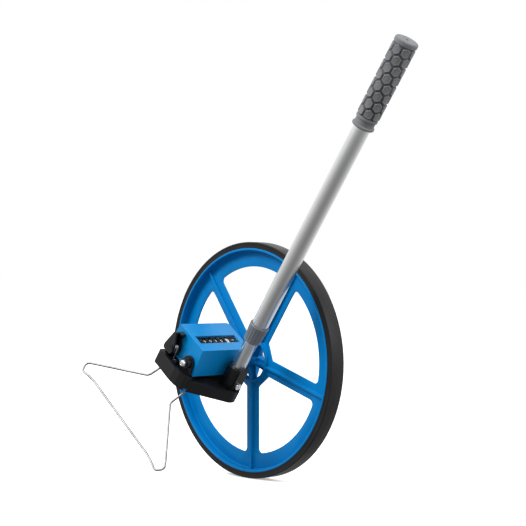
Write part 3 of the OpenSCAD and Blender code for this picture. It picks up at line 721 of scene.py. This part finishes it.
# ---------------------------------------------------------------- stand and spring
STAND = LEAN @ Matrix.Translation((-11, -105, -28)) @ Matrix.Rotation(math.radians(135), 4, "X")
half = [(9.8, 0, 0, 0), (26.8, 0, 0, 2.2), (28.2, 0, 35, 9), (97.5, 0, 84.5, 12), (105.5, 0, 91, 6.5),
        (98.5, 0, 101.5, 6), (84, 0, 98.8, 40), (72, 0, 97.3, 40), (0, 0, 97.3, 0)]
right = bent_path(half, 8)
left = [Vector((-p.x, p.y, p.z)) for p in reversed(right)]
stand = Shape().wire(right[:-1] + left, 1.5, STAND, 20)
stand.piece("stand_bent_wire", M["chrome"], "stand", ["stand_wire"], "stand_chrome", smooth=60)

turns = 192
coil = [(-29 + 2.9 * math.cos(math.pi * (1 + 9 * i / turns)), -121.2 + 5.4 * i / turns,
         3 - 2.9 * math.sin(math.pi * (1 + 9 * i / turns))) for i in range(turns + 1)]
coil = [(-31.9, -121.3, 9)] + coil + [(-26.0, -115.7, -15.5)]
Shape().wire(coil, 0.45, LEAN, 10).piece("return_spring", M["bright"], "carrier", ["reset_spring"],
                                         "bright_fastener", smooth=60)

# ---------------------------------------------------------------- CAD nodes that stay
for node, material, width in (
        ("frame", "black", 0.7), ("counter_housing", "case", 0.9), ("counter_base", "black", 0.3),
        ("socket_bolt", "bright", 0.35), ("axle_bushes", "black", 0.25), ("drive_gear", "gear", 0.15),
        ("tube_plug", "black", 0.4), ("clamp_ferrule", "black", 0.2), ("window_lens", "glass", 0.12),
        ("window_mask", "drum", 0.08), ("counter_chassis", "sheet", 0.2), ("drum_shaft", "steel", 0.2),
        ("pinion_shaft", "steel", 0.15), ("reset_shaft", "steel", 0.2), ("reset_comb", "gear", 0.15),
        ("reset_lever", "black", 0.45), ("lever_screw", "oxide", 0.2), ("anchor_screw", "bright", 0.2),
        ("housing_screws", "bright", 0.2), ("chassis_screws", "bright", 0.15)):
    finish_cad(node, M[material], width)
for k in range(1, 6):
    finish_cad("digit_drum_%d" % k, M["white" if k == 5 else "drum"], 0.15)
for k in range(1, 5):
    finish_cad("carry_pinion_%d" % k, M["gear"], 0.1)

# ---------------------------------------------------------------- floor, light, camera
ground = Nodes("floor_paper", rough=0.9, spec=0.1)
ground.colour(ground.noise(3), (0.86, 0.86, 0.86), (0.89, 0.89, 0.89))
ground.set(ground.bsdf, "Emission Color", (1, 1, 1, 1))
ground.set(ground.bsdf, "Emission Strength", 0.35)
floor_mesh = bpy.data.meshes.new("floor")
floor_mesh.from_pydata([(-30, -30, -0.0003), (30, -30, -0.0003), (30, 30, -0.0003), (-30, 30, -0.0003)],
                       [], [(0, 1, 2, 3)])
floor_mesh.materials.append(ground.mat)
floor = bpy.data.objects.new("floor", floor_mesh)
scene.collection.objects.link(floor)
floor.visible_diffuse = False
floor.visible_glossy = False

# The studio is brightest above and to the left, and dim below; the backdrop is white
world = bpy.data.worlds.new("studio")
world.use_nodes = True
tree = world.node_tree
sky = tree.nodes["Background"]
way = tree.nodes.new("ShaderNodeTexCoord")
slope = tree.nodes.new("ShaderNodeVectorMath")
slope.operation = "DOT_PRODUCT"
slope.inputs[1].default_value = (-0.15, 0.40, 0.85)
level = tree.nodes.new("ShaderNodeMapRange")
level.inputs["From Min"].default_value = -1
level.inputs["From Max"].default_value = 1
level.inputs["To Min"].default_value = 0.2
level.inputs["To Max"].default_value = 1.4
plain = tree.nodes.new("ShaderNodeBackground")
path = tree.nodes.new("ShaderNodeLightPath")
pick = tree.nodes.new("ShaderNodeMixShader")
tree.links.new(way.outputs["Generated"], slope.inputs[0])
tree.links.new(slope.outputs["Value"], level.inputs["Value"])
tree.links.new(level.outputs["Result"], sky.inputs["Strength"])
sky.inputs["Color"].default_value = (1, 1, 1, 1)
plain.inputs["Color"].default_value = (1, 1, 1, 1)
plain.inputs["Strength"].default_value = 1.0
tree.links.new(path.outputs["Is Camera Ray"], pick.inputs[0])
tree.links.new(sky.outputs[0], pick.inputs[1])
tree.links.new(plain.outputs[0], pick.inputs[2])
tree.links.new(pick.outputs[0], tree.nodes["World Output"].inputs["Surface"])
scene.world = world


def lamp(name, place, target, size, power):
    data = bpy.data.lights.new(name, "AREA")
    data.size = size
    data.energy = power
    obj = bpy.data.objects.new(name, data)
    obj.location = place
    obj.rotation_euler = (Vector(target) - Vector(place)).to_track_quat("-Z", "Y").to_euler()
    scene.collection.objects.link(obj)


lamp("key", (-0.5, -2.1, 2.4), (0.05, -0.05, 0.2), 1.4, 84)
lamp("side", (2.3, 0.9, 1.2), (0.05, 0, 0.25), 1.3, 32)

camera = bpy.data.cameras.new("camera")
camera.lens = 89.1
camera.sensor_width = 36
eye = bpy.data.objects.new("camera", camera)
yaw, pitch = math.radians(47.07), math.radians(1.14)
ahead = Vector((-math.sin(yaw) * math.cos(pitch), math.cos(yaw) * math.cos(pitch), math.sin(pitch)))
eye.location = (1.3034, -1.1943, 0.2548)
eye.rotation_euler = ahead.to_track_quat("-Z", "Y").to_euler()
scene.collection.objects.link(eye)
scene.camera = eye
scene.view_settings.view_transform = "Standard"
